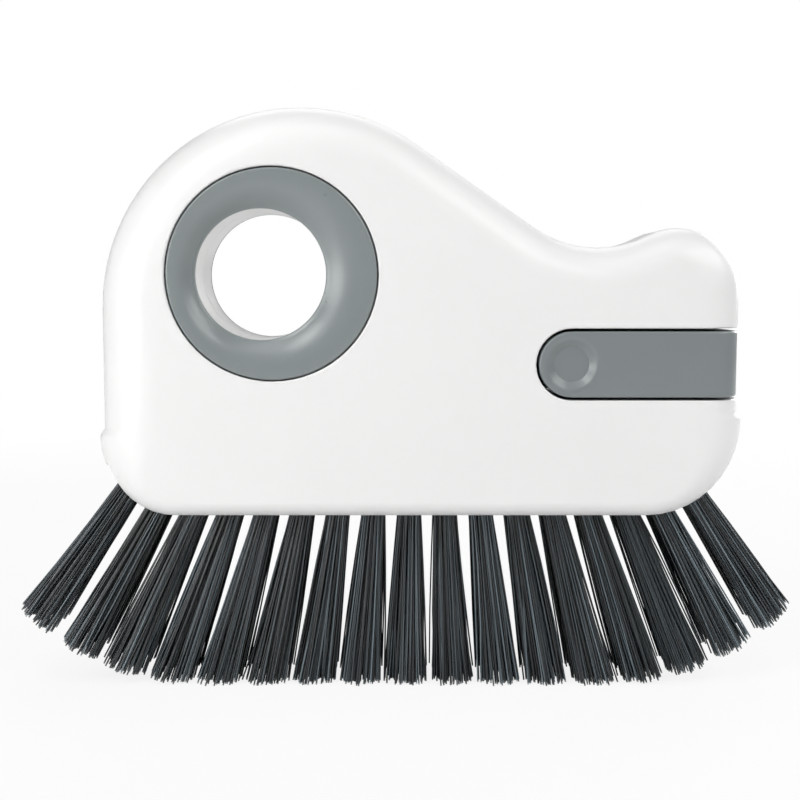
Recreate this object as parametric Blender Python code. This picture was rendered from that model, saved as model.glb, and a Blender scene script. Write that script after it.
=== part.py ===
"""Gap cleaning brush with a finger hole, a fan of bristles and a pull-out detail brush.

X runs along the brush, Y through its thickness with the parting plane at y = 0, and Z is up.
The middle bristles stand on z = 0. Sizes below are in millimetres and become metres in the meshes.
"""

from collections import namedtuple
from math import atan2, cos, degrees, pi, radians, sin, sqrt

import bmesh
import bpy
from mathutils import Vector

MM = 0.001

# Fits between pieces
CLEARANCE = 0.3
PARTING_GAP = 0.3
OVERLAP = 2.0  # how deep joined shapes run into each other

# Outline of the handle, seen from the front
BODY_LEFT = -59.9
BODY_RIGHT = 65.9
BODY_BOTTOM = 35.0
BODY_TOP = 114.75
HEAD_RADIUS = 39.4
SLOPE_ANGLE = 34.8
SADDLE_RADIUS = 21.2
HUMP_RADIUS = 12.5
HUMP_TOP = 91.2
LEFT_CORNER_RADIUS = 15.0
RIGHT_CORNER_RADIUS = 18.6
LIP_HEIGHT = 1.0
LIP_STEP = 1.9
LIP_STATIONS = (0.3, 0.55, 0.8, 1.0)

# Thickness of the handle and the soft rounding that runs round each face
HALF_THICKNESS = 14.0
WALL = 2.4
EDGE_DEPTH = 9.5
EDGE_LEFT = 12.0
EDGE_TOP = 9.7
EDGE_SLOPE = 8.0
EDGE_HUMP = 7.0
EDGE_RIGHT = 8.4
EDGE_BOTTOM = 3.0
EDGE_LEAST = 0.5

# Finger hole and the eccentric funnel rings round it
BORE_X = -27.9
BORE_Z = 82.1
BORE_RADIUS = 12.7
BORE_WALL = 2.0
RING_OFFSET = 2.35
RING_RADIUS = 20.3
RING_INNER_LEVEL = 2.5
RING_SEAT_LEVEL = 3.5
RING_FACE_SETBACK = 0.05
RING_ROUND = 0.4
DISH_SHARES = (0.2, 0.4, 0.55, 0.7, 0.83, 0.93)
DISH_POWER = 2.6
SEAT_THICKNESS = 2.0
SEAT_WALL = 1.8

# Slot at the right end and the detail brush that slides out of it
SLOT_X = 32.3
SLOT_Z = 64.77
SLOT_HALF_HEIGHT = 6.95
SLOT_GAP = 0.55
SLOT_WALL = 1.8
RAIL_HEIGHT = 1.2
RAIL_HALF_WIDTH = 1.5
RAIL_SETBACK = 3.5
HANDLE_FACE_SETBACK = 0.2
HANDLE_END_SETBACK = 0.5
HANDLE_END_WIDTH = 5.0
HANDLE_END_DEPTH = 7.0
DIMPLE_RADIUS = 5.0
DIMPLE_FLOOR_RADIUS = 3.4
DIMPLE_DEPTH = 1.0
NECK_HALF_WIDTH = 2.2
NECK_TIP_X = -8.5
NECK_TOP_GAP = 0.4
SPINE_THICKNESS = 3.2
NECK_ROOT_LENGTH = 5.0
NECK_ROOT_RISE = 1.0
DETAIL_TUFTS = 7
DETAIL_PITCH = 3.9
DETAIL_START = 2.3
DETAIL_TUFT_RADIUS = 1.0
DETAIL_TUFT_SOCKET = 1.8
DETAIL_FLARE_RATIO = 1.3

# Bristle base in the underside and its two rows of tufts
BASE_HALF_WIDTH = 8.2
BASE_HEIGHT = 7.5
BASE_RECESS = 1.0
BASE_END_MARGIN = 5.2  # from the last tuft's middle to the end of the base
FLANGE_REACH = 2.0
FLANGE_THICKNESS = 2.0
FLANGE_SETBACK = 3.0
TUFTS_PER_ROW = 17
TUFT_CENTRE_X = 1.1
TUFT_PITCH = 7.15
ROW_HALF_SPACING = 5.0
TUFT_RADIUS = 2.1
TUFT_SOCKET = 4.0
TUFT_SUNK = 0.4
TUFT_FLARE_RATIO = 2.6
FAN_END_ANGLE = 34.0
FAN_BIAS = -1.0
FAN_LINEAR_SHARE = 0.82
TRIM_FLAT_HALF = 41.5
TRIM_RADIUS = 49.0
STRAND_TAPER_RATIO = 0.6

# Posts, pegs, ribs and screws that hold the two shells together
POSTS = ((54.0, 79.5), (52.0, 51.4), (-49.5, 58.5), (9.5, 88.5))
POST_RADIUS = 2.8
PEG_RADIUS = 1.4
PEG_LENGTH = 2.6
RIBS = (-33.5, 1.5, 37.5)
RIB_THICKNESS = 1.8
RIB_HEIGHT = 10.0
SCREW_ANGLES = (55.0, 125.0, 235.0, 305.0)
SCREW_COLUMN_RADIUS = 2.9
SCREW_HEAD_RADIUS = 1.9
SCREW_HEAD_HEIGHT = 1.4
SCREW_SHANK_RADIUS = 0.9
SCREW_TIP_RADIUS = 0.45
SCREW_TIP_LENGTH = 1.0
SCREW_CROWN_RADIUS = 1.1
SCREW_LENGTH = 14.0

# Facets
CROWN_STEPS = 20
SHOULDER_STEPS = 8
SADDLE_STEPS = 9
HUMP_STEPS = 12
CORNER_STEPS = 10
BASE_CORNER_STEPS = 8
EDGE_STEPS = 8
HANDLE_END_STEPS = 8
HOLLOW_EDGE_STEPS = 3
SLOT_STEPS = 16
CIRCLE_STEPS = 64
HIDDEN_STEPS = 32
SMALL_STEPS = 12
TIP_STEPS = 6
SHARP_ANGLE = 28
TRIM_HALVINGS = 40

REACH = 30.0  # how far a cutter runs past what it cuts

Station = namedtuple("Station", "x z nx nz edge lip")


def clear_scene():
    for old in list(bpy.data.objects):
        bpy.data.objects.remove(old, do_unlink=True)


def new_collection(name):
    collection = bpy.data.collections.new(name)
    bpy.context.scene.collection.children.link(collection)
    return collection


def plastic(name, colour, roughness, metallic=0.0):
    """A plain Principled material; colour is linear RGB."""
    material = bpy.data.materials.new(name)
    material.use_nodes = True
    shader = material.node_tree.nodes["Principled BSDF"]
    shader.inputs["Base Color"].default_value = (*colour, 1.0)
    shader.inputs["Roughness"].default_value = roughness
    shader.inputs["Metallic"].default_value = metallic
    material.diffuse_color = (*colour, 1.0)
    return material


def add_object(name, bm, collection):
    """Closes a bmesh, drawn in millimetres, into an object whose mesh is in metres."""
    bmesh.ops.recalc_face_normals(bm, faces=bm.faces)
    bmesh.ops.scale(bm, vec=Vector((MM, MM, MM)), verts=bm.verts)
    mesh = bpy.data.meshes.new(name)
    bm.to_mesh(mesh)
    bm.free()
    made = bpy.data.objects.new(name, mesh)
    collection.objects.link(made)
    return made


def add_cutter(name, bm):
    made = add_object(name, bm, CUTTERS)
    made.hide_render = True
    made.display_type = "WIRE"
    return made


def combine(target, other, operation):
    modifier = target.modifiers.new(f"{operation.lower()} {other.name}", "BOOLEAN")
    modifier.operation = operation
    modifier.solver = "EXACT"
    modifier.object = other


def cut(target, *cutters):
    for cutter in cutters:
        combine(target, cutter, "DIFFERENCE")


def fuse(target, *pieces):
    for piece in pieces:
        combine(target, piece, "UNION")


def finish(made, material):
    made.data.materials.append(material)
    made.data.shade_smooth()
    made.data.set_sharp_from_angle(angle=radians(SHARP_ANGLE))
    return made


def loft(rings, closed=False):
    """Skins equal-length rings of points in order: capped at both ends, or closed on itself."""
    bm = bmesh.new()
    loops = [[bm.verts.new(point) for point in ring] for ring in rings]
    pairs = list(zip(loops, loops[1:]))
    if closed:
        pairs.append((loops[-1], loops[0]))
    for near, far in pairs:
        for i in range(len(near)):
            j = (i + 1) % len(near)
            bm.faces.new((near[i], near[j], far[j], far[i]))
    if not closed:
        bm.faces.new(loops[0])
        bm.faces.new(loops[-1])
    return bm


def prism(outline, y_from, y_to):
    """An outline of (x, z) points carried straight through the thickness."""
    return loft([[(x, y, z) for x, z in outline] for y in (y_from, y_to)])


def circle(x, z, radius, steps):
    angles = [2 * pi * i / steps for i in range(steps)]
    return [(x + radius * cos(angle), z + radius * sin(angle)) for angle in angles]


def disc(x, z, radius, y_from, y_to, steps, far_radius=None):
    """A cylinder, or a cone, along Y."""
    bm = bmesh.new()
    bmesh.ops.create_cone(
        bm,
        cap_ends=True,
        segments=steps,
        radius1=radius,
        radius2=radius if far_radius is None else far_radius,
        depth=abs(y_to - y_from),
    )
    way = 1 if y_to > y_from else -1
    for vert in bm.verts:
        height = vert.co.z
        vert.co.z = vert.co.y
        vert.co.y = height * way
    bmesh.ops.translate(bm, vec=Vector((x, (y_from + y_to) / 2, z)), verts=bm.verts)
    return bm


def block(x_from, x_to, y_from, y_to, z_from, z_to):
    bm = bmesh.new()
    bmesh.ops.create_cube(bm, size=1.0)
    size = Vector((abs(x_to - x_from), abs(y_to - y_from), abs(z_to - z_from)))
    middle = Vector((x_from + x_to, y_from + y_to, z_from + z_to)) / 2
    bmesh.ops.scale(bm, vec=size, verts=bm.verts)
    bmesh.ops.translate(bm, vec=middle, verts=bm.verts)
    return bm


def smooth(share):
    return share * share * (3 - 2 * share)


def arc(centre, radius, start, stop, steps, edge_from, edge_to, hollow=False, lips=None):
    """Stations along an arc, in degrees; a hollow arc has its centre outside the body."""
    made = []
    for i in range(steps + 1):
        share = i / steps
        angle = radians(start + (stop - start) * share)
        nx, nz = cos(angle), sin(angle)
        x, z = centre[0] + radius * nx, centre[1] + radius * nz
        if hollow:
            nx, nz = -nx, -nz
        edge = edge_from + (edge_to - edge_from) * smooth(share)
        made.append(Station(x, z, nx, nz, edge, lips(share) if lips else 0.0))
    return made


def saddle_centre(head_centre, hump_centre):
    """Centre of the hollow arc that touches both the straight slope and the hump."""
    slope = radians(SLOPE_ANGLE)
    along = Vector((cos(slope), -sin(slope)))
    outward = Vector((sin(slope), cos(slope)))
    start = Vector(head_centre) + outward * (HEAD_RADIUS + SADDLE_RADIUS)
    apart = start - Vector(hump_centre)
    half = along.dot(apart)
    rest = apart.length_squared - (SADDLE_RADIUS + HUMP_RADIUS) ** 2
    return start + along * (-half - sqrt(half * half - rest))


def body_outline():
    """Stations round the handle, clockwise from the foot of the left side."""
    head = (BODY_LEFT + HEAD_RADIUS, BODY_TOP - HEAD_RADIUS)
    hump = (BODY_RIGHT - HUMP_RADIUS, HUMP_TOP - HUMP_RADIUS)
    saddle = saddle_centre(head, hump)
    to_hump = degrees(atan2(hump[1] - saddle[1], hump[0] - saddle[0])) % 360
    left_foot = BODY_BOTTOM + LEFT_CORNER_RADIUS
    right_foot = BODY_BOTTOM + RIGHT_CORNER_RADIUS
    left, right = [], []
    for share in LIP_STATIONS:
        rise = LIP_STEP * share
        lip = LIP_HEIGHT * (1 - smooth(share))
        left.append(Station(BODY_LEFT, left_foot + rise, -1, 0, EDGE_LEFT, lip))
        right.append(Station(BODY_RIGHT, right_foot + rise, 1, 0, EDGE_RIGHT, lip))
    crown = 90 - SLOPE_ANGLE
    stations = left
    stations += arc(head, HEAD_RADIUS, 180, 90, CROWN_STEPS, EDGE_LEFT, EDGE_TOP)
    stations += arc(head, HEAD_RADIUS, 90, crown, SHOULDER_STEPS, EDGE_TOP, EDGE_SLOPE)[1:]
    stations += arc(
        saddle, SADDLE_RADIUS, 180 + crown, to_hump, SADDLE_STEPS, EDGE_SLOPE, EDGE_HUMP, hollow=True,
    )
    stations += arc(hump, HUMP_RADIUS, to_hump - 180, 0, HUMP_STEPS, EDGE_HUMP, EDGE_RIGHT)[1:]
    stations += reversed(right)
    stations += arc(
        (BODY_RIGHT - RIGHT_CORNER_RADIUS, right_foot), RIGHT_CORNER_RADIUS, 0, -90, CORNER_STEPS,
        EDGE_RIGHT, EDGE_BOTTOM, lips=lambda share: LIP_HEIGHT * cos(share * pi / 2) ** 2,
    )
    stations += arc(
        (BODY_LEFT + LEFT_CORNER_RADIUS, left_foot), LEFT_CORNER_RADIUS, -90, -180, CORNER_STEPS,
        EDGE_BOTTOM, EDGE_LEFT, lips=lambda share: LIP_HEIGHT * sin(share * pi / 2) ** 2,
    )
    return stations


def rounding(station, inset, steps, with_lip):
    """From the rim to the flat face: (x, distance from the parting plane, z) down one station."""
    width = max(station.edge - inset, EDGE_LEAST)
    depth = max(min(station.edge, EDGE_DEPTH) - inset, EDGE_LEAST)
    face = HALF_THICKNESS - inset
    points = []
    for k in range(steps + 1):
        angle = pi / 2 * k / steps
        move = inset + width * (1 - cos(angle))
        if with_lip:
            move -= station.lip * cos(angle)
        points.append(
            (station.x - station.nx * move, face - depth * (1 - sin(angle)), station.z - station.nz * move)
        )
    return points


def envelope(outline, inset, steps, side, rim, with_lip=False):
    """Half of the handle's body on one side (-1 front, +1 rear), inset all round, from y = rim out."""
    columns = [rounding(station, inset, steps, with_lip) for station in outline]
    rings = [[(points[0][0], side * rim, points[0][2]) for points in columns]]
    for k in range(steps + 1):
        rings.append([(points[k][0], side * points[k][1], points[k][2]) for points in columns])
    return loft(rings)


def slot_outline(half_height, left_steps, right_x, centre_x=SLOT_X):
    """The slot's shape: a half round at the left, open to the right."""
    points = [(right_x, SLOT_Z - half_height), (right_x, SLOT_Z + half_height)]
    for i in range(left_steps + 1):
        angle = pi / 2 + pi * i / left_steps
        points.append((centre_x + half_height * cos(angle), SLOT_Z + half_height * sin(angle)))
    return points


def base_ends(extra):
    """Angles, in radians, that the base runs round the left and the right lower corner."""
    reach = TUFT_PITCH * (TUFTS_PER_ROW - 1) / 2 + BASE_END_MARGIN + extra
    left_run = reach - TUFT_CENTRE_X + BODY_LEFT + LEFT_CORNER_RADIUS
    right_run = reach + TUFT_CENTRE_X - BODY_RIGHT + RIGHT_CORNER_RADIUS
    return left_run / (LEFT_CORNER_RADIUS - BASE_RECESS), right_run / (RIGHT_CORNER_RADIUS - BASE_RECESS)


def base_curve(inset, extra=0.0):
    """The line of the underside at an inset, round both corners, left to right."""
    left_end, right_end = base_ends(extra)
    left = (BODY_LEFT + LEFT_CORNER_RADIUS, BODY_BOTTOM + LEFT_CORNER_RADIUS, LEFT_CORNER_RADIUS - inset)
    right = (
        BODY_RIGHT - RIGHT_CORNER_RADIUS, BODY_BOTTOM + RIGHT_CORNER_RADIUS, RIGHT_CORNER_RADIUS - inset,
    )
    points = []
    for i in range(BASE_CORNER_STEPS + 1):
        angle = -pi / 2 - left_end * (1 - i / BASE_CORNER_STEPS)
        points.append((left[0] + left[2] * cos(angle), left[1] + left[2] * sin(angle)))
    for i in range(BASE_CORNER_STEPS + 1):
        angle = -pi / 2 + right_end * i / BASE_CORNER_STEPS
        points.append((right[0] + right[2] * cos(angle), right[1] + right[2] * sin(angle)))
    return points


def base_band(near_inset, far_inset, extra=0.0):
    return base_curve(near_inset, extra) + base_curve(far_inset, extra)[::-1]


def handle_limits(half):
    """The grip's extent seen from above: flat faces and a rounded right end."""
    right = BODY_RIGHT - HANDLE_END_SETBACK
    left = SLOT_X - SLOT_HALF_HEIGHT - OVERLAP
    points = [(left, half), (left, -half)]
    for side in (-1, 1):
        for k in range(HANDLE_END_STEPS + 1):
            share = k if side < 0 else HANDLE_END_STEPS - k
            angle = pi / 2 * share / HANDLE_END_STEPS
            x = right - HANDLE_END_WIDTH * (1 - sin(angle))
            points.append((x, side * (half - HANDLE_END_DEPTH * (1 - cos(angle)))))
    top, bottom = SLOT_Z + SLOT_HALF_HEIGHT + OVERLAP, SLOT_Z - SLOT_HALF_HEIGHT - OVERLAP
    return loft([[(x, y, z) for x, y in points] for z in (bottom, top)])


def base_point(run):
    """Point on the base's underside a given run from the middle tuft, measured along its curve."""
    x = TUFT_CENTRE_X + run
    level = BODY_BOTTOM + BASE_RECESS
    left = BODY_LEFT + LEFT_CORNER_RADIUS
    right = BODY_RIGHT - RIGHT_CORNER_RADIUS
    if x < left:
        radius = LEFT_CORNER_RADIUS - BASE_RECESS
        turn = (left - x) / radius
        return left - radius * sin(turn), level + radius * (1 - cos(turn))
    if x > right:
        radius = RIGHT_CORNER_RADIUS - BASE_RECESS
        turn = (x - right) / radius
        return right + radius * sin(turn), level + radius * (1 - cos(turn))
    return x, level


def tuft_places():
    """(x, z, lean) of each tuft along a row; the lean grows towards the ends of the fan."""
    half = (TUFTS_PER_ROW - 1) / 2
    places = []
    for i in range(TUFTS_PER_ROW):
        share = (i - half) / half
        lean = FAN_END_ANGLE * (FAN_LINEAR_SHARE * share + (1 - FAN_LINEAR_SHARE) * share**3) + FAN_BIAS
        places.append((*base_point((i - half) * TUFT_PITCH), radians(lean)))
    return places


def trim_level(x):
    """Height at which the bristles are trimmed: flat on the floor, then rising round both ends."""
    past = abs(x) - TRIM_FLAT_HALF
    if past <= 0:
        return 0.0
    return TRIM_RADIUS - sqrt(max(TRIM_RADIUS**2 - past**2, 0.0))


def trimmed(root, direction, level_at):
    """Where a strand from root along direction meets the trim."""
    low, high = 0.0, 2 * BODY_BOTTOM
    for _ in range(TRIM_HALVINGS):
        middle = (low + high) / 2
        point = root + direction * middle
        if point.z > level_at(point.x):
            low = middle
        else:
            high = middle
    return root + direction * low


def hexagon_cells(radius):
    """A hexagon of 24 triangles: its points, the 12 cells that carry strands and the 12 between."""
    side = radius / 2
    points, index, cells, between = [], {}, [], []
    for q in range(-2, 3):
        for r in range(-2, 3):
            if abs(q + r) <= 2:
                index[q, r] = len(points)
                points.append((side * (q + r / 2), side * r * sqrt(3) / 2))
    for q, r in index:
        if (q + 1, r) in index and (q, r + 1) in index:
            cells.append((index[q, r], index[q + 1, r], index[q, r + 1]))
        if (q + 1, r) in index and (q + 1, r - 1) in index:
            between.append((index[q, r], index[q + 1, r - 1], index[q + 1, r]))
    return points, cells, between


def tuft(x, y, z, lean, radius, socket, sunk, flare, length, level_at):
    """A root plug with twelve three-sided strands that spread and end on the trim."""
    axis = Vector((sin(lean), 0, -cos(lean)))
    across = Vector((cos(lean), 0, sin(lean)))
    through = Vector((0, 1, 0))
    mouth = Vector((x, y, z)) - axis * sunk
    points, cells, between = hexagon_cells(radius)
    bm = bmesh.new()
    face = [bm.verts.new(mouth + across * u + through * v) for u, v in points]
    for corners in between:
        bm.faces.new([face[i] for i in corners])
    carriers = [bm.faces.new([face[i] for i in corners]) for corners in cells]
    made = bmesh.ops.extrude_discrete_faces(bm, faces=carriers)["faces"]
    for tip, corners in zip(made, cells):
        flat = [Vector(points[i]) for i in corners]
        middle = sum(flat, Vector((0, 0))) / 3
        for loop in tip.loops:
            root = loop.vert.co.copy()
            offset = root - mouth
            own = Vector((offset.dot(across), offset.dot(through)))
            end = middle * flare + (own - middle) * STRAND_TAPER_RATIO
            far = mouth + axis * length + across * end.x + through * end.y
            loop.vert.co = trimmed(root, (far - root).normalized(), level_at)
    rim = [edge for edge in bm.edges if edge.is_boundary]
    walls = bmesh.ops.extrude_edge_only(bm, edges=rim)["geom"]
    back = [item for item in walls if isinstance(item, bmesh.types.BMVert)]
    bmesh.ops.translate(bm, vec=-axis * (socket - sunk - CLEARANCE), verts=back)
    bmesh.ops.contextual_create(bm, geom=[e for e in bm.edges if e.is_boundary])
    return bm


def socket_cutter(x, y, z, lean, radius, depth):
    """A round blind hole along a tuft's axis, from below the base up to its depth."""
    bm = bmesh.new()
    bmesh.ops.create_cone(
        bm, cap_ends=True, segments=10, radius1=radius, radius2=radius, depth=depth + REACH
    )
    bmesh.ops.translate(bm, vec=Vector((0, 0, (depth - REACH) / 2)), verts=bm.verts)
    for vert in bm.verts:
        height, side = vert.co.z, vert.co.x
        vert.co = Vector((
            x + side * cos(lean) - height * sin(lean),
            y + vert.co.y,
            z + side * sin(lean) + height * cos(lean),
        ))
    return bm


def screw_places():
    """(x, z) of each screw, midway between the bore and the ring's outer wall."""
    places = []
    for angle in SCREW_ANGLES:
        c, s = cos(radians(angle)), sin(radians(angle))
        outer = RING_OFFSET * c + sqrt(RING_RADIUS**2 - (RING_OFFSET * s) ** 2)
        middle = (BORE_RADIUS + outer) / 2
        places.append((BORE_X + middle * c, BORE_Z + middle * s))
    return places


RING_X = BORE_X + RING_OFFSET
SEAT_Y = HALF_THICKNESS - RING_SEAT_LEVEL - CLEARANCE
HANDLE_HALF_HEIGHT = SLOT_HALF_HEIGHT - SLOT_GAP
RAIL_END_X = BODY_RIGHT - RAIL_SETBACK
NECK_TOP = SLOT_Z + SLOT_HALF_HEIGHT - RAIL_HEIGHT - NECK_TOP_GAP
NECK_BOTTOM = SLOT_Z - SLOT_HALF_HEIGHT + RAIL_HEIGHT + NECK_TOP_GAP
COUNTERBORE_RADIUS = SCREW_HEAD_RADIUS + CLEARANCE
SCREW_SEAT_Y = SEAT_Y - SCREW_HEAD_HEIGHT - 2 * CLEARANCE


def cavity(outline, side):
    """The hollow of one shell: the inset body less everything that stands inside it."""
    name = "front" if side < 0 else "rear"
    hollow = add_cutter(
        f"{name}_cavity", envelope(outline[::2], WALL, HOLLOW_EDGE_STEPS, side, -OVERLAP / 2)
    )
    inside = side * (HALF_THICKNESS - WALL / 2)
    past = -side * OVERLAP
    seat_radius = RING_RADIUS + CLEARANCE + SEAT_WALL
    kept = [
        disc(RING_X, BORE_Z, seat_radius, side * (SEAT_Y - SEAT_THICKNESS), inside, HIDDEN_STEPS),
        disc(BORE_X, BORE_Z, BORE_RADIUS + BORE_WALL, past, side * SEAT_Y, HIDDEN_STEPS),
        prism(slot_outline(SLOT_HALF_HEIGHT + SLOT_WALL, SMALL_STEPS, BODY_RIGHT - WALL / 2), past, inside),
    ]
    for x, z in POSTS:
        kept.append(disc(x, z, POST_RADIUS, past, inside, SMALL_STEPS))
    for x, z in screw_places():
        kept.append(disc(x, z, SCREW_COLUMN_RADIUS, past, side * SEAT_Y, SMALL_STEPS))
    top = BODY_BOTTOM + BASE_RECESS + BASE_HEIGHT + CLEARANCE
    for x in RIBS:
        half = RIB_THICKNESS / 2
        kept.append(block(x - half, x + half, past, inside, top, top + RIB_HEIGHT))
    for i, bm in enumerate(kept):
        cut(hollow, add_cutter(f"{name}_kept_{i}", bm))
    return hollow


def slot_cutter():
    """The slot through both shells, less the rails that guide the detail brush."""
    slot = add_cutter(
        "slot_cutter", prism(slot_outline(SLOT_HALF_HEIGHT, SLOT_STEPS, BODY_RIGHT + REACH), -REACH, REACH)
    )
    for way in (-1, 1):
        wall = SLOT_Z + way * (SLOT_HALF_HEIGHT + SLOT_WALL / 2)
        tip = SLOT_Z + way * (SLOT_HALF_HEIGHT - RAIL_HEIGHT)
        rail = block(SLOT_X, RAIL_END_X, -RAIL_HALF_WIDTH, RAIL_HALF_WIDTH, wall, tip)
        cut(slot, add_cutter(f"rail_{'low' if way < 0 else 'high'}", rail))
    return slot


def shell(outline, side, material):
    name = "front_shell" if side < 0 else "rear_shell"
    made = add_object(name, envelope(outline, 0.0, EDGE_STEPS, side, PARTING_GAP / 2, with_lip=True), PARTS)
    window = NECK_HALF_WIDTH + NECK_TOP_GAP
    cut(
        made,
        cavity(outline, side),
        add_cutter(f"{name}_ring_seat", disc(
            RING_X, BORE_Z, RING_RADIUS + CLEARANCE, side * SEAT_Y, side * REACH, CIRCLE_STEPS
        )),
        add_cutter(f"{name}_bore", disc(BORE_X, BORE_Z, BORE_RADIUS, -REACH, REACH, CIRCLE_STEPS)),
        CUTTERS.objects["slot_cutter"],
        add_cutter(f"{name}_window", block(
            SLOT_X - SLOT_HALF_HEIGHT - 2 * SLOT_WALL, SLOT_X, -window, window,
            NECK_BOTTOM - NECK_TOP_GAP, NECK_TOP + NECK_TOP_GAP,
        )),
        add_cutter(f"{name}_base_opening", prism(
            base_band(-BASE_HEIGHT, BASE_RECESS + BASE_HEIGHT, CLEARANCE),
            -BASE_HALF_WIDTH - CLEARANCE, BASE_HALF_WIDTH + CLEARANCE,
        )),
    )
    for i, (x, z) in enumerate(screw_places()):
        hole = SCREW_SHANK_RADIUS + CLEARANCE
        if side < 0:
            end = SCREW_SEAT_Y - SCREW_LENGTH - 2 * CLEARANCE
            cut(made, add_cutter(f"pilot_{i}", disc(x, z, hole, end, REACH, SMALL_STEPS)))
        else:
            cut(
                made,
                add_cutter(f"screw_hole_{i}", disc(x, z, hole, -REACH, REACH, SMALL_STEPS)),
                add_cutter(f"counterbore_{i}", disc(
                    x, z, COUNTERBORE_RADIUS, SCREW_SEAT_Y, REACH, SMALL_STEPS
                )),
            )
    for i, (x, z) in enumerate(POSTS):
        if side < 0:
            peg = disc(x, z, PEG_RADIUS, -PEG_LENGTH, PEG_LENGTH, SMALL_STEPS)
            fuse(made, add_cutter(f"peg_{i}", peg))
        else:
            hole = disc(x, z, PEG_RADIUS + CLEARANCE, -REACH, PEG_LENGTH + CLEARANCE, SMALL_STEPS)
            cut(made, add_cutter(f"peg_hole_{i}", hole))
    return finish(made, material)


def grip_ring(side, material):
    """A ring that dips towards its off-centre opening: wide at the right, narrow at the left."""
    face = HALF_THICKNESS - RING_FACE_SETBACK
    back = HALF_THICKNESS - RING_SEAT_LEVEL
    inner = HALF_THICKNESS - RING_INNER_LEVEL
    # share of the way from the rim to the bore, radius added there, and distance from the parting plane
    profile = [(0.0, 0.0, back), (0.0, 0.0, face - RING_ROUND), (0.0, -RING_ROUND, face)]
    for share in DISH_SHARES:
        profile.append((share, 0.0, face - (face - inner) * share**DISH_POWER))
    profile += [(1.0, RING_ROUND, inner), (1.0, 0.0, inner - RING_ROUND), (1.0, 0.0, back)]
    rings = []
    for share, more, level in profile:
        x = RING_X + (BORE_X - RING_X) * share
        radius = RING_RADIUS + (BORE_RADIUS - RING_RADIUS) * share + more
        rings.append([(px, side * level, pz) for px, pz in circle(x, BORE_Z, radius, CIRCLE_STEPS)])
    name = "front_grip_ring" if side < 0 else "rear_grip_ring"
    return finish(add_object(name, loft(rings, closed=True), PARTS), material)


def shell_screws(material):
    """Pan-head screws, from the rear shell into the front one, hidden under the rear ring."""
    seat = SCREW_SEAT_Y + CLEARANCE
    top = seat + SCREW_HEAD_HEIGHT
    for i, (x, z) in enumerate(screw_places()):
        rings = [
            (SCREW_TIP_RADIUS, seat - SCREW_LENGTH),
            (SCREW_SHANK_RADIUS, seat - SCREW_LENGTH + SCREW_TIP_LENGTH),
            (SCREW_SHANK_RADIUS, seat),
            (SCREW_HEAD_RADIUS, seat),
            (SCREW_HEAD_RADIUS, top - SCREW_HEAD_HEIGHT / 2),
            (SCREW_CROWN_RADIUS, top),
        ]
        turned = [[(px, y, pz) for px, pz in circle(x, z, radius, SMALL_STEPS)] for radius, y in rings]
        finish(add_object(f"shell_screw_{i + 1}", loft(turned), PARTS), material)


def bristle_base(material):
    """The curved bar that carries the tufts, with a flange that rests inside the shells."""
    made = add_object(
        "bristle_base",
        prism(base_band(BASE_RECESS, BASE_RECESS + BASE_HEIGHT), -BASE_HALF_WIDTH, BASE_HALF_WIDTH),
        PARTS,
    )
    low = BODY_BOTTOM + WALL + CLEARANCE
    flange_half = BASE_HALF_WIDTH + FLANGE_REACH
    flange = block(
        BODY_LEFT + LEFT_CORNER_RADIUS + FLANGE_SETBACK, BODY_RIGHT - RIGHT_CORNER_RADIUS - FLANGE_SETBACK,
        -flange_half, flange_half, low, low + FLANGE_THICKNESS,
    )
    fuse(made, add_cutter("flange", flange))
    hole = TUFT_RADIUS + CLEARANCE
    for i, (x, z, lean) in enumerate(tuft_places()):
        for way in (-1, 1):
            bm = socket_cutter(x, way * ROW_HALF_SPACING, z, lean, hole, TUFT_SOCKET)
            cut(made, add_cutter(f"socket_{i}_{'front' if way < 0 else 'rear'}", bm))
    return finish(made, material)


def bristle_tufts(material):
    for row, y in (("front", -ROW_HALF_SPACING), ("rear", ROW_HALF_SPACING)):
        for i, (x, z, lean) in enumerate(tuft_places()):
            bm = tuft(
                x, y, z, lean, TUFT_RADIUS, TUFT_SOCKET, TUFT_SUNK, TUFT_FLARE_RATIO, BODY_BOTTOM, trim_level
            )
            finish(add_object(f"{row}_tuft_{i + 1:02d}", bm, PARTS), material)


def detail_places():
    return [NECK_TIP_X + DETAIL_START + DETAIL_PITCH * i for i in range(DETAIL_TUFTS)]


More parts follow.
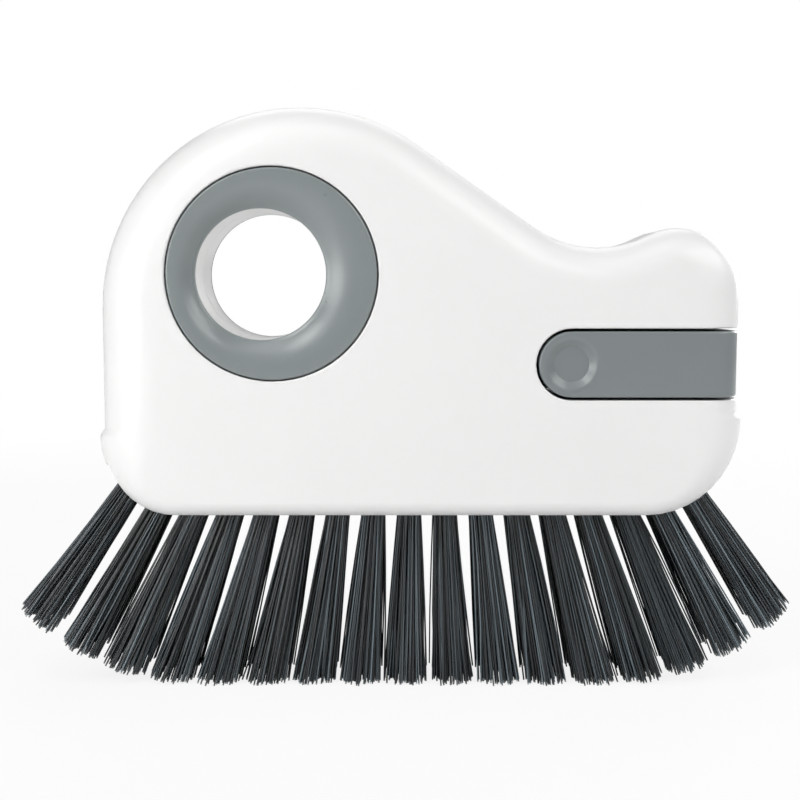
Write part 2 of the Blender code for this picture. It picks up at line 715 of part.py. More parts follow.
def detail_brush(grey, bristle):
    """The pull-out tool: a grip that fills the slot, a neck and a narrow row of short tufts."""
    half = HALF_THICKNESS - HANDLE_FACE_SETBACK
    made = add_object(
        "detail_brush_handle",
        prism(slot_outline(HANDLE_HALF_HEIGHT, SLOT_STEPS, BODY_RIGHT + OVERLAP), -REACH, REACH),
        PARTS,
    )
    combine(made, add_cutter("handle_limits", handle_limits(half)), "INTERSECT")
    wider = OVERLAP * (DIMPLE_RADIUS - DIMPLE_FLOOR_RADIUS) / DIMPLE_DEPTH
    for side in (-1, 1):
        name = "front" if side < 0 else "rear"
        cut(made, add_cutter(f"dimple_{name}", disc(
            SLOT_X, SLOT_Z, DIMPLE_FLOOR_RADIUS, side * (half - DIMPLE_DEPTH), side * (half + OVERLAP),
            HIDDEN_STEPS, far_radius=DIMPLE_RADIUS + wider,
        )))
        wall = SLOT_Z + side * (SLOT_HALF_HEIGHT + OVERLAP)
        floor = SLOT_Z + side * (SLOT_HALF_HEIGHT - RAIL_HEIGHT - SLOT_GAP)
        width = RAIL_HALF_WIDTH + CLEARANCE
        cut(made, add_cutter(f"groove_{name}", block(
            SLOT_X - SLOT_HALF_HEIGHT - OVERLAP, RAIL_END_X + CLEARANCE, -width, width, wall, floor
        )))
    spine = NECK_TOP - SPINE_THICKNESS
    start = SLOT_X - HANDLE_HALF_HEIGHT
    tip = SPINE_THICKNESS / 2
    root_end = start + OVERLAP
    root_low = NECK_BOTTOM + NECK_ROOT_RISE
    neck = [(root_end, NECK_TOP), (root_end, root_low), (start - NECK_ROOT_RISE, root_low)]
    neck.append((start - NECK_ROOT_LENGTH, spine))
    for i in range(TIP_STEPS + 1):
        angle = -pi / 2 - pi * i / TIP_STEPS
        neck.append((NECK_TIP_X + tip + tip * cos(angle), NECK_TOP - tip + tip * sin(angle)))
    fuse(made, add_cutter("neck", prism(neck, -NECK_HALF_WIDTH, NECK_HALF_WIDTH)))
    for i, x in enumerate(detail_places()):
        hole = DETAIL_TUFT_RADIUS + CLEARANCE
        cut(made, add_cutter(f"detail_socket_{i}", socket_cutter(x, 0, spine, 0, hole, DETAIL_TUFT_SOCKET)))
        bm = tuft(
            x, 0, spine, 0, DETAIL_TUFT_RADIUS, DETAIL_TUFT_SOCKET, CLEARANCE, DETAIL_FLARE_RATIO,
            spine - NECK_BOTTOM, lambda _: NECK_BOTTOM,
        )
        finish(add_object(f"detail_tuft_{i + 1}", bm, PARTS), bristle)
    return finish(made, grey)


clear_scene()
PARTS = new_collection("gap_cleaning_brush")
CUTTERS = new_collection("cutters")

WHITE = plastic("white_plastic", (0.88, 0.88, 0.87), 0.32)
GREY = plastic("grey_rubber", (0.24, 0.27, 0.27), 0.55)
BRISTLE = plastic("dark_bristle", (0.05, 0.06, 0.065), 0.45)
STEEL = plastic("screw_steel", (0.55, 0.55, 0.55), 0.35, metallic=1.0)

OUTLINE = body_outline()
slot_cutter()
for shell_side in (-1, 1):
    shell(OUTLINE, shell_side, WHITE)
    grip_ring(shell_side, GREY)
shell_screws(STEEL)
bristle_base(WHITE)
bristle_tufts(BRISTLE)
detail_brush(GREY, BRISTLE)
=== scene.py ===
"""Gap cleaning brush: softened mouldings, rubber rings and full bristle tufts over the fixed frame."""

import random
from math import cos, pi, radians, sin, sqrt

import bmesh
import bpy
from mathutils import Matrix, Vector
from mathutils.bvhtree import BVHTree


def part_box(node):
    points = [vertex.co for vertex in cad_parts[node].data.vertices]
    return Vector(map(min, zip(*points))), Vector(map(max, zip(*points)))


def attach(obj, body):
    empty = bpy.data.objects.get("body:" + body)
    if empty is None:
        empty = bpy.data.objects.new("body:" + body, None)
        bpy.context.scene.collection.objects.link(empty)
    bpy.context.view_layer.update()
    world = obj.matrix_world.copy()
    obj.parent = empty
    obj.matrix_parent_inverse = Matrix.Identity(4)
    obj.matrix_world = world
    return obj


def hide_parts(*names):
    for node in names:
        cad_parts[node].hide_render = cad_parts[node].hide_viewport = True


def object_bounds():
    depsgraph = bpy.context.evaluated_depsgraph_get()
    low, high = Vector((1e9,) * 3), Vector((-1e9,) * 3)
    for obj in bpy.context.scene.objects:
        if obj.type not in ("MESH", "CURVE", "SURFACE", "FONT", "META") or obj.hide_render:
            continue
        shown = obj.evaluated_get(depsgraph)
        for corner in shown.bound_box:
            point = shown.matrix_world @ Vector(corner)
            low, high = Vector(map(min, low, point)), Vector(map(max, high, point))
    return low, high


MM = 0.001

# Camera
CAMERA_PLACE = Vector((-0.9, -259.0, 79.1)) * MM
CAMERA_PITCH = radians(-4.93)
CAMERA_LENS = 57.375
SENSOR_WIDTH = 36.0

# Stage
AIM = Vector((0.0, 0.0, 0.06))
FLOOR_SIZE = 6.0
FLOOR_WHITE = 0.86
FLOOR_GLOW = 0.85
FADE_START = 0.2
FADE_END = 0.5
WORLD_STRENGTH = 0.06

# Handle
HALF_THICKNESS = 14.0 * MM
BODY_LEFT = -59.9 * MM
BODY_RIGHT = 65.9 * MM
BODY_BOTTOM = 35.0 * MM
LEFT_CORNER = 15.0 * MM
RIGHT_CORNER = 18.6 * MM
SLOT_X = 32.3 * MM
SLOT_Z = 64.77 * MM

# Funnel rings
BORE_X = -27.9 * MM
BORE_Z = 82.1 * MM
BORE_RADIUS = 12.7 * MM
RING_OFFSET = 2.35 * MM
RING_RADIUS = 20.3 * MM
RING_FACE = HALF_THICKNESS - 0.05 * MM
RING_INNER = HALF_THICKNESS - 2.5 * MM
RING_BACK = HALF_THICKNESS - 3.5 * MM
RING_ROUND = 0.4 * MM
RING_SEGMENTS = 160
ROUND_STEPS = 4
DISH_POWER = 2.6
DISH_STATIONS = 18

# Bristles
BASE_LEVEL = 36.0 * MM
BASE_RECESS = 1.0 * MM
TUFTS_PER_ROW = 17
TUFT_CENTRE_X = 1.1 * MM
TUFT_PITCH = 7.15 * MM
ROW_HALF_SPACING = 5.0 * MM
TUFT_RADIUS = 2.1 * MM
FAN_END_ANGLE = 34.0
FAN_BIAS = -1.0
FAN_LINEAR_SHARE = 0.82
TRIM_FLAT_HALF = 41.5 * MM
TRIM_RADIUS = 49.0 * MM
FILAMENTS = 110
FILAMENT_RADIUS = 0.165 * MM
FILAMENT_SPREAD = 2.05
FILAMENT_SCATTER = 0.35 * MM
FILAMENT_UNEVEN = 0.55 * MM
FILAMENT_BOW = 0.22 * MM
# Length of each filament's last short piece, which takes a pale material: a painted glint on the tips.
PAINTED_TIP_LENGTH = 0.3 * MM
ROOT_DEPTH = 1.2 * MM
STRAYS = 3
STRAY_SPREAD = 1.5 * MM
TURN_JITTER = 0.2
TRIM_POWER = 2
TONE_POWER = 3.5
TRIM_STEPS = 24
ROW_SEED = 100

# Detail brush bristles
DETAIL_TUFTS = 7
DETAIL_FIRST_X = -6.2 * MM
DETAIL_PITCH = 3.9 * MM
DETAIL_RADIUS = 1.0 * MM
DETAIL_FILAMENTS = 60
DETAIL_FILAMENT_RADIUS = 0.09 * MM
DETAIL_SPREAD = 1.25
DETAIL_LENGTH = 7.6 * MM
DETAIL_SEED = 500

# Softened edges and parting lines
MERGE = 0.01 * MM
FLAT = radians(0.4)
SHELL_EDGE = 0.4 * MM
GRIP_EDGE = 0.45 * MM
FINE_EDGE = 0.2 * MM
EDGE_SEGMENTS = 3
FACE_WEIGHT = 80
SHARP = radians(30)
CORNER = radians(50)
RIM = radians(25)
SHELL_FACE_REACH = 0.2 * MM
GRIP_FACE_REACH = 0.6 * MM
UNDERSIDE_REACH = 2 * MM
SLOT_END = 52.0 * MM
SLOT_REACH = 7.4 * MM
GRIP_FLAT = 6.2 * MM
DRAFT = 0.53 * MM
DRAFT_FADE = 4
PARTING_REACH = 0.5 * MM
RIM_LEVEL = 0.15 * MM
RIM_CLOSED = 0.1
PAST_RIM = 10
WALL_LEAN = 0.5

# Filament meshes
GOLDEN_TURN = pi * (3 - sqrt(5))
SIDES = 6
SEGMENTS = 3
FACES_PER_STRAND = SIDES * (SEGMENTS + 1) + 2
STRAND_SHARP = radians(80)


def only(piece):
    """Makes one object the selected and active one."""
    bpy.ops.object.select_all(action="DESELECT")
    piece.select_set(True)
    bpy.context.view_layer.objects.active = piece


def apply_modifiers(piece):
    only(piece)
    for modifier in list(piece.modifiers):
        bpy.ops.object.modifier_apply(modifier=modifier.name)


def new_material(name, colour, roughness):
    """A Principled material with its two fixed values; returns it with its tree and shader."""
    material = bpy.data.materials.new(name)
    material.use_nodes = True
    tree = material.node_tree
    shader = tree.nodes["Principled BSDF"]
    shader.inputs["Base Color"].default_value = (*colour, 1.0)
    shader.inputs["Roughness"].default_value = roughness
    material.diffuse_color = (*colour, 1.0)
    return material, tree, shader


def object_noise(tree, scale, detail=2.0):
    """Noise on the piece's own coordinates, in repeats a metre."""
    place = tree.nodes.new("ShaderNodeTexCoord")
    noise = tree.nodes.new("ShaderNodeTexNoise")
    noise.inputs["Scale"].default_value = scale
    noise.inputs["Detail"].default_value = detail
    tree.links.new(place.outputs["Object"], noise.inputs["Vector"])
    return noise.outputs["Fac"]


def between(tree, value, low, high):
    """A 0 to 1 value carried to a range."""
    ranged = tree.nodes.new("ShaderNodeMapRange")
    ranged.inputs["To Min"].default_value = low
    ranged.inputs["To Max"].default_value = high
    tree.links.new(value, ranged.inputs["Value"])
    return ranged.outputs["Result"]


def blend_colours(tree, value, first, second):
    mix = tree.nodes.new("ShaderNodeMix")
    mix.data_type = "RGBA"
    mix.inputs["A"].default_value = (*first, 1.0)
    mix.inputs["B"].default_value = (*second, 1.0)
    tree.links.new(value, mix.inputs["Factor"])
    return mix.outputs["Result"]


def uneven_gloss(tree, shader, scale, rough, spread):
    """Roughness that wanders about its value over the piece."""
    tree.links.new(
        between(tree, object_noise(tree, scale), rough - spread, rough + spread), shader.inputs["Roughness"]
    )


def grain(tree, shader, height, strength, depth):
    """Fine relief from a height."""
    bump = tree.nodes.new("ShaderNodeBump")
    bump.inputs["Strength"].default_value = strength
    bump.inputs["Distance"].default_value = depth
    tree.links.new(height, bump.inputs["Height"])
    tree.links.new(bump.outputs["Normal"], shader.inputs["Normal"])


def satin_plastic(name, light, shade, rough):
    """White moulded plastic: a trace of mottling, a fine satin grain and uneven gloss."""
    material, tree, shader = new_material(name, light, rough)
    tree.links.new(blend_colours(tree, object_noise(tree, 45), light, shade), shader.inputs["Base Color"])
    uneven_gloss(tree, shader, 160, rough, 0.05)
    grain(tree, shader, object_noise(tree, 3200), 0.12, 0.00003)
    return material


def soft_rubber(name, light, shade, rough):
    """Grey soft-touch rubber: cloudy tone and a denser, duller grain than the plastic's."""
    material, tree, shader = new_material(name, light, rough)
    shader.inputs["Specular IOR Level"].default_value = 0.65
    tree.links.new(blend_colours(tree, object_noise(tree, 70, 4), light, shade), shader.inputs["Base Color"])
    uneven_gloss(tree, shader, 240, rough, 0.06)
    grain(tree, shader, object_noise(tree, 5200, 3), 0.2, 0.00004)
    return material


def nylon(name, dark, light, rough):
    """Filaments whose tone goes by the strand, with a waxy sheen that varies along them."""
    material, tree, shader = new_material(name, dark, rough)
    shader.inputs["Specular IOR Level"].default_value = 1.0
    tone = tree.nodes.new("ShaderNodeAttribute")
    tone.attribute_name = "tone"
    tree.links.new(blend_colours(tree, tone.outputs["Fac"], dark, light), shader.inputs["Base Color"])
    uneven_gloss(tree, shader, 900, rough, 0.08)
    return material


def plated_steel(name):
    material, tree, shader = new_material(name, (0.6, 0.6, 0.59), 0.32)
    shader.inputs["Metallic"].default_value = 1.0
    tree.links.new(between(tree, object_noise(tree, 1500), 0.26, 0.4), shader.inputs["Roughness"])
    return material


def edges_to_soften(bm, wanted, corner):
    """Outward corners of a closed mesh that wanted(middle of the edge) picks."""
    surface = BVHTree.FromBMesh(bm)
    found = []
    for edge in bm.edges:
        if len(edge.link_faces) != 2 or edge.calc_face_angle_signed(0.0) < corner:
            continue
        middle = (edge.verts[0].co + edge.verts[1].co) / 2
        if not wanted(middle):
            continue
        outward = sum((face.normal for face in edge.link_faces), Vector())
        outward.normalize()
        if surface.ray_cast(middle + outward * FINE_EDGE, outward)[0] is None:
            found.append(edge)
    return found


def close_parting_line(bm):
    """Slants a shell's rim, so that the parting line is an even groove and not a slit into the hollow."""
    surface = BVHTree.FromBMesh(bm)
    inner = []
    for vert in bm.verts:
        walls = [face.normal for face in vert.link_faces if abs(face.normal.y) < WALL_LEAN]
        if abs(vert.co.y) > RIM_LEVEL + MERGE or not walls:
            continue
        in_bore = sqrt((vert.co.x - BORE_X) ** 2 + (vert.co.z - BORE_Z) ** 2) < BORE_RADIUS + PARTING_REACH
        at_slot = vert.co.x > SLOT_X - SLOT_REACH and abs(vert.co.z - SLOT_Z) < SLOT_REACH
        if in_bore or at_slot:
            continue
        outward = sum(walls, Vector())
        outward.y = 0
        outward.normalize()
        start = vert.co + outward * RIM_LEVEL
        start.y *= PAST_RIM
        if surface.ray_cast(start, outward)[0] is not None:
            inner.append(vert)
    for vert in inner:
        vert.co.y *= RIM_CLOSED


def moulding(name, node, body, material, width, wanted, corner=CORNER):
    """A merged copy of a CAD node with softened outer edges, which stands for the node."""
    piece = bpy.data.objects.new(name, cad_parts[node].data.copy())
    bpy.context.scene.collection.objects.link(piece)
    piece.data.materials.clear()
    piece.data.materials.append(material)
    only(piece)
    bpy.ops.mesh.customdata_custom_splitnormals_clear()
    bpy.ops.object.mode_set(mode="EDIT")
    bpy.ops.mesh.select_all(action="SELECT")
    bpy.ops.mesh.remove_doubles(threshold=MERGE)
    bpy.ops.mesh.dissolve_limited(angle_limit=FLAT)
    bpy.ops.mesh.vert_connect_concave()
    bpy.ops.object.mode_set(mode="OBJECT")
    bm = bmesh.new()
    bm.from_mesh(piece.data)
    if node.endswith("shell"):
        close_parting_line(bm)
    weights = bm.edges.layers.float.new("bevel_weight_edge")
    for edge in edges_to_soften(bm, wanted, corner):
        edge[weights] = 1.0
    bm.to_mesh(piece.data)
    bm.free()
    bevel = piece.modifiers.new("soft edges", "BEVEL")
    bevel.limit_method = "WEIGHT"
    bevel.width = width
    bevel.segments = EDGE_SEGMENTS
    bevel.use_clamp_overlap = False
    bevel.loop_slide = False
    apply_modifiers(piece)
    if node == "detail_brush_handle":
        add_draft(piece)
    bpy.ops.object.shade_smooth_by_angle(angle=SHARP)
    weighted = piece.modifiers.new("even shading", "WEIGHTED_NORMAL")
    weighted.keep_sharp = True
    weighted.weight = FACE_WEIGHT
    apply_modifiers(piece)
    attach(piece, body)
    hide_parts(node)
    return piece


def add_draft(piece):
    """Makes the grip's rounded end fullest at the parting plane below the neck, as a two-part mould does."""
    bm = bmesh.new()
    bm.from_mesh(piece.data)
    parts = bm.verts[:] + bm.edges[:] + bm.faces[:]
    cut = bmesh.ops.bisect_plane(bm, geom=parts, dist=MERGE, plane_co=(0, 0, 0), plane_no=(0, 1, 0))
    centre = Vector((SLOT_X, 0, SLOT_Z))
    for vert in cut["geom_cut"]:
        if not isinstance(vert, bmesh.types.BMVert):
            continue
        outward = vert.co - centre
        reach = outward.length
        outward.normalize()
        if outward.x < 0 and outward.z < 1 / DRAFT_FADE and GRIP_FLAT < reach < SLOT_REACH:
            fullness = DRAFT * min(1.0, -DRAFT_FADE * outward.x) * min(1.0, 1 - DRAFT_FADE * outward.z)
            vert.co += outward * fullness
    bm.to_mesh(piece.data)
    bm.free()


def turned(name, stations, segments):
    """A closed ring drawn as one circle about Y that is extruded, resized and moved through stations."""
    x, y, radius = stations[0]
    bpy.ops.mesh.primitive_circle_add(
        vertices=segments, radius=radius, location=(x, y, BORE_Z), rotation=(pi / 2, 0, 0)
    )
    piece = bpy.context.active_object
    piece.name = name
    bpy.ops.object.transform_apply(location=True, rotation=True, scale=True)
    bpy.ops.object.mode_set(mode="EDIT")
    bpy.ops.mesh.select_all(action="SELECT")
    for next_x, next_y, next_radius in stations[1:]:
        bpy.ops.mesh.extrude_region_move()
        share = next_radius / radius
        bpy.ops.transform.resize(value=(share, 1.0, share), center_override=(x, y, BORE_Z))
        bpy.ops.transform.translate(value=(next_x - x, next_y - y, 0.0))
        x, y, radius = next_x, next_y, next_radius
    bpy.ops.mesh.select_all(action="DESELECT")
    bpy.ops.mesh.select_mode(type="EDGE")
    bpy.ops.mesh.select_non_manifold()
    bpy.ops.mesh.bridge_edge_loops()
    bpy.ops.mesh.select_all(action="SELECT")
    bpy.ops.mesh.normals_make_consistent(inside=False)
    bpy.ops.object.mode_set(mode="OBJECT")
    bpy.ops.object.shade_smooth_by_angle(angle=SHARP)
    return piece


def quarter(count):
    """Steps of a quarter turn, as (part done, part left) of a round edge."""
    return [(sin(pi / 2 * k / count), cos(pi / 2 * k / count)) for k in range(count + 1)]


def funnel_ring(side):
    """The rubber ring of one face: a round outer edge, a flat rim and a roll down to the finger hole."""
    ring_x = BORE_X + RING_OFFSET
    stations = [(ring_x, side * RING_BACK, RING_RADIUS)]
    for done, left in quarter(ROUND_STEPS):
        level = RING_FACE - RING_ROUND * (1 - done)
        stations.append((ring_x, side * level, RING_RADIUS - RING_ROUND * (1 - left)))
    for k in range(1, DISH_STATIONS):
        share = k / DISH_STATIONS
        radius = RING_RADIUS - RING_ROUND + (BORE_RADIUS - RING_RADIUS + 2 * RING_ROUND) * share
        level = RING_FACE - (RING_FACE - RING_INNER) * share**DISH_POWER
        stations.append((ring_x - RING_OFFSET * share, side * level, radius))
    for done, left in quarter(ROUND_STEPS):
        level = RING_INNER - RING_ROUND * (1 - left)
        stations.append((BORE_X, side * level, BORE_RADIUS + RING_ROUND * (1 - done)))
    stations.append((BORE_X, side * RING_BACK, BORE_RADIUS))
    name = "front_grip_ring" if side < 0 else "rear_grip_ring"
    piece = turned(name + "_rubber", stations, RING_SEGMENTS)
    piece.data.materials.append(RUBBER)
    weighted = piece.modifiers.new("even shading", "WEIGHTED_NORMAL")
    weighted.keep_sharp = True
    apply_modifiers(piece)
    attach(piece, "brush_body")
    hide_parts(name)
    return piece


def base_point(run):
    """Point of the base's underside at a run from the middle tuft, along its curve."""
    x = TUFT_CENTRE_X + run
    left, right = BODY_LEFT + LEFT_CORNER, BODY_RIGHT - RIGHT_CORNER
    if x < left:
        radius = LEFT_CORNER - BASE_RECESS
        turn = (left - x) / radius
        return left - radius * sin(turn), BASE_LEVEL + radius * (1 - cos(turn))
    if x > right:
        radius = RIGHT_CORNER - BASE_RECESS
        turn = (x - right) / radius
        return right + radius * sin(turn), BASE_LEVEL + radius * (1 - cos(turn))
    return x, BASE_LEVEL


def tuft_places():
    """(x, z, lean) of each tuft of a row."""
    half = (TUFTS_PER_ROW - 1) / 2
    places = []
    for i in range(TUFTS_PER_ROW):
        share = (i - half) / half
        lean = FAN_END_ANGLE * (FAN_LINEAR_SHARE * share + (1 - FAN_LINEAR_SHARE) * share**3) + FAN_BIAS
        places.append((*base_point((i - half) * TUFT_PITCH), radians(lean)))
    return places


def trim_level(x):
    """Height of the trimmed ends: on the floor in the middle, rising round both ends."""
    past = abs(x) - TRIM_FLAT_HALF
    if past <= 0:
        return 0.0
    return TRIM_RADIUS - sqrt(max(TRIM_RADIUS**2 - past**2, 0.0))


def run_to_trim(start, direction, level_at, longest):
    low, high = 0.0, longest
    for _ in range(TRIM_STEPS):
        middle = (low + high) / 2
        point = start + direction * middle
        if point.z > level_at(point.x):
            low = middle
        else:
            high = middle
    return low


def held_inside(point):
    """The point, kept inside the box of the CAD model."""
    return Vector([min(max(point[k], CAD_LOW[k]), CAD_HIGH[k]) for k in range(3)])


def add_filament(points, faces, line, radius, turn):
    """Appends a slim tube along line, closed at its far end."""
    first = len(points)
    along = (line[-1] - line[0]).normalized()
    side = along.orthogonal().normalized()
    other = along.cross(side)
    for place in line:
        for k in range(SIDES):
            angle = turn + 2 * pi * k / SIDES
            points.append(held_inside(place + (side * cos(angle) + other * sin(angle)) * radius))
    for ring in range(len(line) - 1):
        low = first + ring * SIDES
        for k in range(SIDES):
            j = (k + 1) % SIDES
            faces.append((low + k, low + j, low + SIDES + j, low + SIDES + k))
    last = first + (len(line) - 1) * SIDES
    faces.append(tuple(range(first, first + SIDES))[::-1])
    faces.append(tuple(range(last, last + SIDES)))


def bundle(name, mouth, lean, radius, count, thickness, spread, level_at, length, seed, strays=0):
    """A tuft of filaments that leave their hole together, fan out and end on the trim."""
    rng = random.Random(seed)
    axis = Vector((sin(lean), 0.0, -cos(lean)))
    across = Vector((cos(lean), 0.0, sin(lean)))
    through = Vector((0.0, 1.0, 0.0))
    points, faces, tones = [], [], []
    for i in range(count):
        reach = radius * sqrt((i + 0.5) / count)
        angle = i * GOLDEN_TURN + rng.uniform(-TURN_JITTER, TURN_JITTER)
        u, v = reach * cos(angle), reach * sin(angle)
        root = mouth + across * u + through * v
        scatter = FILAMENT_SCATTER * radius / TUFT_RADIUS
        if i < strays:
            scatter = STRAY_SPREAD
        far = mouth + axis * length
        far += across * (u * spread + rng.gauss(0, scatter)) + through * (v * spread + rng.gauss(0, scatter))
        direction = (far - root).normalized()
        run = run_to_trim(root, direction, level_at, 2 * length)
        run -= rng.random() ** TRIM_POWER * FILAMENT_UNEVEN
        bow = across * rng.gauss(0, FILAMENT_BOW) + through * rng.gauss(0, FILAMENT_BOW)
        line = [root - axis * ROOT_DEPTH]
        for k in range(1, SEGMENTS + 1):
            share = k / SEGMENTS
            line.append(root + direction * run * share + bow * sin(pi * share))
        # A short last piece, made pale by the second material as a painted glint on the tip.
        line.insert(-1, line[-1] - direction * PAINTED_TIP_LENGTH)
        add_filament(points, faces, line, thickness, rng.uniform(0, pi / 2))
        tones.extend([rng.random() ** TONE_POWER] * (SIDES * len(line)))
    mesh = bpy.data.meshes.new(name)
    mesh.from_pydata(points, [], faces)
    tone = mesh.attributes.new("tone", "FLOAT", "POINT")
    tone.data.foreach_set("value", tones)
    # The last short piece and the far end of each filament take the second material, a painted glint.
    for i, polygon in enumerate(mesh.polygons):
        place = i % FACES_PER_STRAND
        if SIDES * SEGMENTS <= place < SIDES * (SEGMENTS + 1) or place == FACES_PER_STRAND - 1:
            polygon.material_index = 1
    piece = bpy.data.objects.new(name, mesh)
    bpy.context.scene.collection.objects.link(piece)
    only(piece)
    bpy.ops.object.shade_smooth_by_angle(angle=STRAND_SHARP)
    return piece


def main_tufts():
    for row, way in (("front", -1), ("rear", 1)):
        for i, (x, z, lean) in enumerate(tuft_places()):
            name = f"{row}_tuft_{i + 1:02d}"
            mouth = Vector((x, way * ROW_HALF_SPACING, z))
            piece = bundle(
                name + "_filaments", mouth, lean, TUFT_RADIUS, FILAMENTS, FILAMENT_RADIUS, FILAMENT_SPREAD,
                trim_level, BASE_LEVEL, ROW_SEED * way + i, STRAYS,
            )
            piece.data.materials.append(BRISTLE)
            # Second slot: the painted glint on the filament tips.
            piece.data.materials.append(TIP_GLINT)
            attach(piece, "brush_body")
            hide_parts(name)


def detail_tufts():
    for i in range(DETAIL_TUFTS):
        name = f"detail_tuft_{i + 1}"
        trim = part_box(name)[0].z
        mouth = Vector((DETAIL_FIRST_X + DETAIL_PITCH * i, 0.0, trim + DETAIL_LENGTH))
        piece = bundle(
            name + "_filaments", mouth, 0.0, DETAIL_RADIUS, DETAIL_FILAMENTS, DETAIL_FILAMENT_RADIUS,
            DETAIL_SPREAD, lambda _, level=trim: level, DETAIL_LENGTH, DETAIL_SEED + i,
        )
        piece.data.materials.append(FINE_BRISTLE)
        # Second slot: the painted glint on the filament tips.
        piece.data.materials.append(TIP_GLINT)
        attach(piece, "detail_brush")
        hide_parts(name)


def stage_floor():
    """A pale floor that keeps the brush's shadow and looks white to the camera."""
    bpy.ops.mesh.primitive_plane_add(size=FLOOR_SIZE, location=(0, 0, 0))
    floor = bpy.context.active_object
    floor.name = "studio_floor"
    material, tree, shader = new_material("studio_floor", (FLOOR_WHITE, FLOOR_WHITE, FLOOR_WHITE), 0.9)
    shader.inputs["Specular IOR Level"].default_value = 0.0
    glow = tree.nodes.new("ShaderNodeEmission")
    seen = tree.nodes.new("ShaderNodeLightPath")
    place = tree.nodes.new("ShaderNodeTexCoord")
    far = tree.nodes.new("ShaderNodeVectorMath")
    far.operation = "LENGTH"
    tree.links.new(place.outputs["Object"], far.inputs[0])
    fade = tree.nodes.new("ShaderNodeMapRange")
    fade.interpolation_type = "SMOOTHSTEP"
    fade.inputs["From Min"].default_value = FADE_START
    fade.inputs["From Max"].default_value = FADE_END
    fade.inputs["To Min"].default_value = FLOOR_GLOW
    tree.links.new(far.outputs["Value"], fade.inputs["Value"])
    share = tree.nodes.new("ShaderNodeMath")
    share.operation = "MULTIPLY"
    tree.links.new(seen.outputs["Is Camera Ray"], share.inputs[0])
    tree.links.new(fade.outputs["Result"], share.inputs[1])
    mix = tree.nodes.new("ShaderNodeMixShader")
    tree.links.new(share.outputs["Value"], mix.inputs["Fac"])
    tree.links.new(shader.outputs["BSDF"], mix.inputs[1])
    tree.links.new(glow.outputs["Emission"], mix.inputs[2])
    tree.links.new(mix.outputs["Shader"], tree.nodes["Material Output"].inputs["Surface"])
    floor.data.materials.append(material)


def stage_world(strength):
    """Soft even light, and white behind the object."""
    world = bpy.data.worlds.new("studio")
    bpy.context.scene.world = world
    world.use_nodes = True
    tree = world.node_tree
    background = tree.nodes["Background"]
    background.inputs["Color"].default_value = (1, 1, 1, 1)
    seen = tree.nodes.new("ShaderNodeLightPath")
    either = tree.nodes.new("ShaderNodeMath")
    either.operation = "MAXIMUM"
    tree.links.new(seen.outputs["Is Camera Ray"], either.inputs[0])
    tree.links.new(seen.outputs["Is Transmission Ray"], either.inputs[1])
    tree.links.new(between(tree, either.outputs["Value"], strength, 1.0), background.inputs["Strength"])


def softbox(name, azimuth, elevation, distance, width, height, power):
    """A lamp aimed at the brush; azimuth 0 is in front of it and 90 at its right end."""
    turn, rise = radians(azimuth), radians(elevation)
    way = Vector((sin(turn) * cos(rise), -cos(turn) * cos(rise), sin(rise)))
    bpy.ops.object.light_add(type="AREA", location=AIM + way * distance)
    lamp = bpy.context.active_object
    lamp.name = name
    lamp.data.shape = "RECTANGLE"
    lamp.data.size = width
    lamp.data.size_y = height
    lamp.data.energy = power
    lamp.rotation_mode = "QUATERNION"
    lamp.rotation_quaternion = (-way).to_track_quat("-Z", "Y")
    lamp.visible_camera = False


def stage_camera():
    bpy.ops.object.camera_add(location=CAMERA_PLACE, rotation=(pi / 2 + CAMERA_PITCH, 0, 0))
    camera = bpy.context.active_object
    camera.data.lens = CAMERA_LENS
    camera.data.sensor_width = SENSOR_WIDTH
    camera.data.clip_start = 0.01
    bpy.context.scene.camera = camera


def shell_corner(middle):
    """Corners of a shell that show: the ring seat, the slot and the opening for the bristles."""
    on_face = abs(middle.y) > HALF_THICKNESS - SHELL_FACE_REACH
    at_slot_end = middle.x > SLOT_END and abs(middle.z - SLOT_Z) < SLOT_REACH
    underneath = middle.z < BODY_BOTTOM + UNDERSIDE_REACH
    return abs(middle.y) > PARTING_REACH and (on_face or at_slot_end or underneath)


def grip_corner(middle):
    """Corners of the grip that show: round both faces, round the dimples and at the right end."""
    on_face = abs(middle.y) > HALF_THICKNESS - GRIP_FACE_REACH
    at_end = middle.x > SLOT_END and abs(middle.z - SLOT_Z) > GRIP_FLAT
    return on_face or at_end


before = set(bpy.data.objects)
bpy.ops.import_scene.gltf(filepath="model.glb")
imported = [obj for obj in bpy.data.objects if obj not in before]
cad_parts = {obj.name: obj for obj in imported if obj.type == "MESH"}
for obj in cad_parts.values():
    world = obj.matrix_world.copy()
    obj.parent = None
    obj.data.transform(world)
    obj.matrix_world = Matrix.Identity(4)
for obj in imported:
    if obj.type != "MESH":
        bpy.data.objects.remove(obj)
bpy.ops.object.select_all(action="DESELECT")
CAD_LOW, CAD_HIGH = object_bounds()

bpy.context.scene.view_settings.view_transform = "Standard"

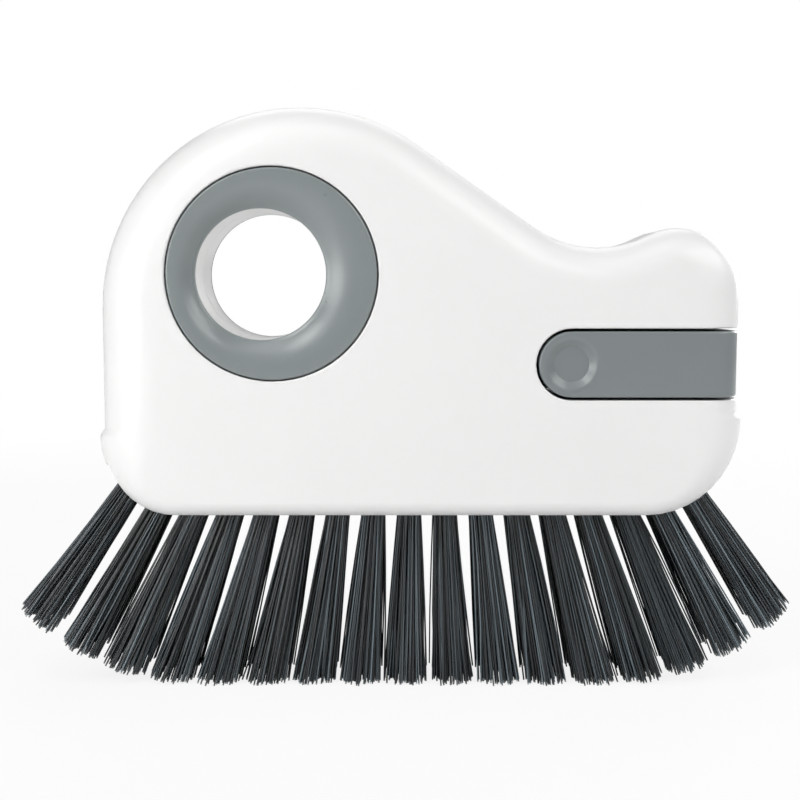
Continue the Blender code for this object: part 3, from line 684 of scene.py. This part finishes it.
WHITE = satin_plastic("white_moulded_plastic", (0.86, 0.86, 0.855), (0.83, 0.83, 0.825), 0.36)
BASE_WHITE = satin_plastic("white_base_plastic", (0.82, 0.82, 0.81), (0.78, 0.78, 0.77), 0.42)
RUBBER = soft_rubber("grey_rubber", (0.235, 0.262, 0.265), (0.215, 0.24, 0.243), 0.3)
GRIP = soft_rubber("grey_grip_plastic", (0.214, 0.237, 0.243), (0.198, 0.22, 0.226), 0.32)
BRISTLE = nylon("dark_nylon", (0.006, 0.009, 0.011), (0.15, 0.195, 0.22), 0.34)
FINE_BRISTLE = nylon("fine_nylon", (0.008, 0.011, 0.013), (0.15, 0.195, 0.22), 0.36)
# Pale tips: a painted glint that stands for the light caught by the trimmed filament ends.
TIP_GLINT = nylon("painted_tip_glint", (0.13, 0.145, 0.15), (0.7, 0.72, 0.73), 0.5)
STEEL = plated_steel("plated_steel")

for shell in ("front_shell", "rear_shell"):
    moulding(shell + "_moulding", shell, "brush_body", WHITE, SHELL_EDGE, shell_corner)
moulding(
    "bristle_base_moulding", "bristle_base", "brush_body", BASE_WHITE,
    FINE_EDGE, lambda _: False,
)
moulding(
    "detail_brush_grip", "detail_brush_handle", "detail_brush", GRIP,
    GRIP_EDGE, grip_corner, RIM,
)
for face in (-1, 1):
    funnel_ring(face)
main_tufts()
detail_tufts()
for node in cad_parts.values():
    if node.name.startswith("shell_screw"):
        node.data.materials.clear()
        node.data.materials.append(STEEL)

stage_floor()
stage_world(WORLD_STRENGTH)
softbox("left_key", -42, 37, 0.9, 0.3, 0.3, 2.3)
softbox("high_key", -25, 65, 0.9, 0.55, 0.45, 1.2)
softbox("overhead", -10, 72, 0.9, 0.6, 0.4, 0.25)
softbox("left_side", -56, 8, 0.42, 0.2, 0.16, 0.6)
softbox("right_front", 40, 35, 0.95, 0.4, 0.4, 2.1)
softbox("right_side", 80, 35, 0.95, 0.55, 0.45, 3.2)
softbox("high_back", 180, 44.6, 0.983, 0.8, 0.5, 2.4)
softbox("right_back", 140, 15, 0.9, 0.4, 0.4, 3.0)
stage_camera()
